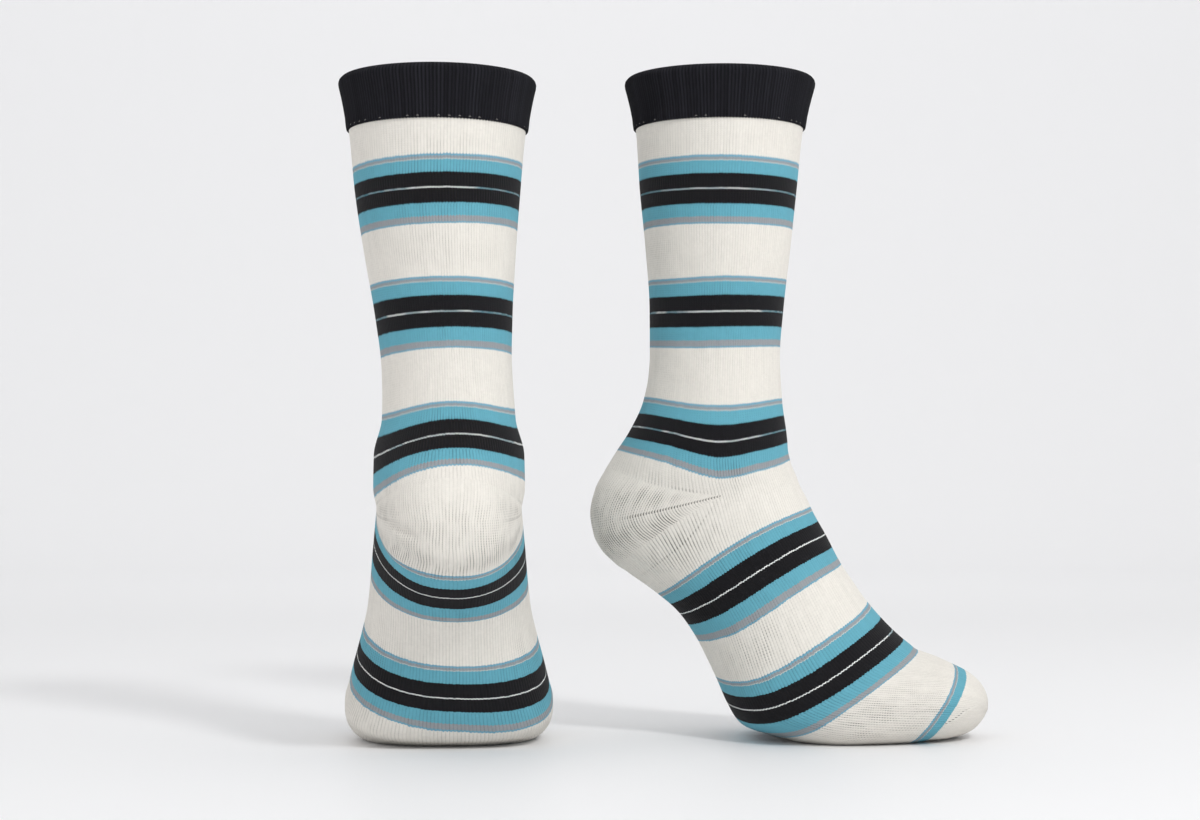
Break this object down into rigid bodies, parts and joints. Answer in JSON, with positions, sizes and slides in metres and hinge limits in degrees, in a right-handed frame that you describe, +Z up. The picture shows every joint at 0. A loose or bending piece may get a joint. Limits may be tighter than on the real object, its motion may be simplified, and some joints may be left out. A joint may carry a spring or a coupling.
{
  "type": "pair of socks",
  "caption": "Crew socks in cream knit with black ribbed cuffs and blue, grey and black stripe bands, open at the top and filled out hollow, standing on ball and toes.",
  "frame": {"origin": "on the floor, under the middle of the pair's bounding box", "axes": "+Z up, +X the way the toes of the sock seen from its side point, +Y away from the viewer, the way the toes of the sock seen from behind point"},
  "size_m": [0.3204, 0.198, 0.3287],
  "materials": {
    "black_welt_knit": "fine 1x1 ribbed double welt, matt black cotton",
    "cream_cotton_knit": "fine plain knit cotton, matt cream with blue, grey and black bands"
  },
  "bodies": {
    "root": {"left_cuff": "black_welt_knit", "left_leg": "cream_cotton_knit", "left_heel": "cream_cotton_knit", "left_foot": "cream_cotton_knit", "left_toe": "cream_cotton_knit", "right_cuff": "black_welt_knit", "right_leg": "cream_cotton_knit", "right_heel": "cream_cotton_knit", "right_foot": "cream_cotton_knit", "right_toe": "cream_cotton_knit"}
  },
  "joints": []
}
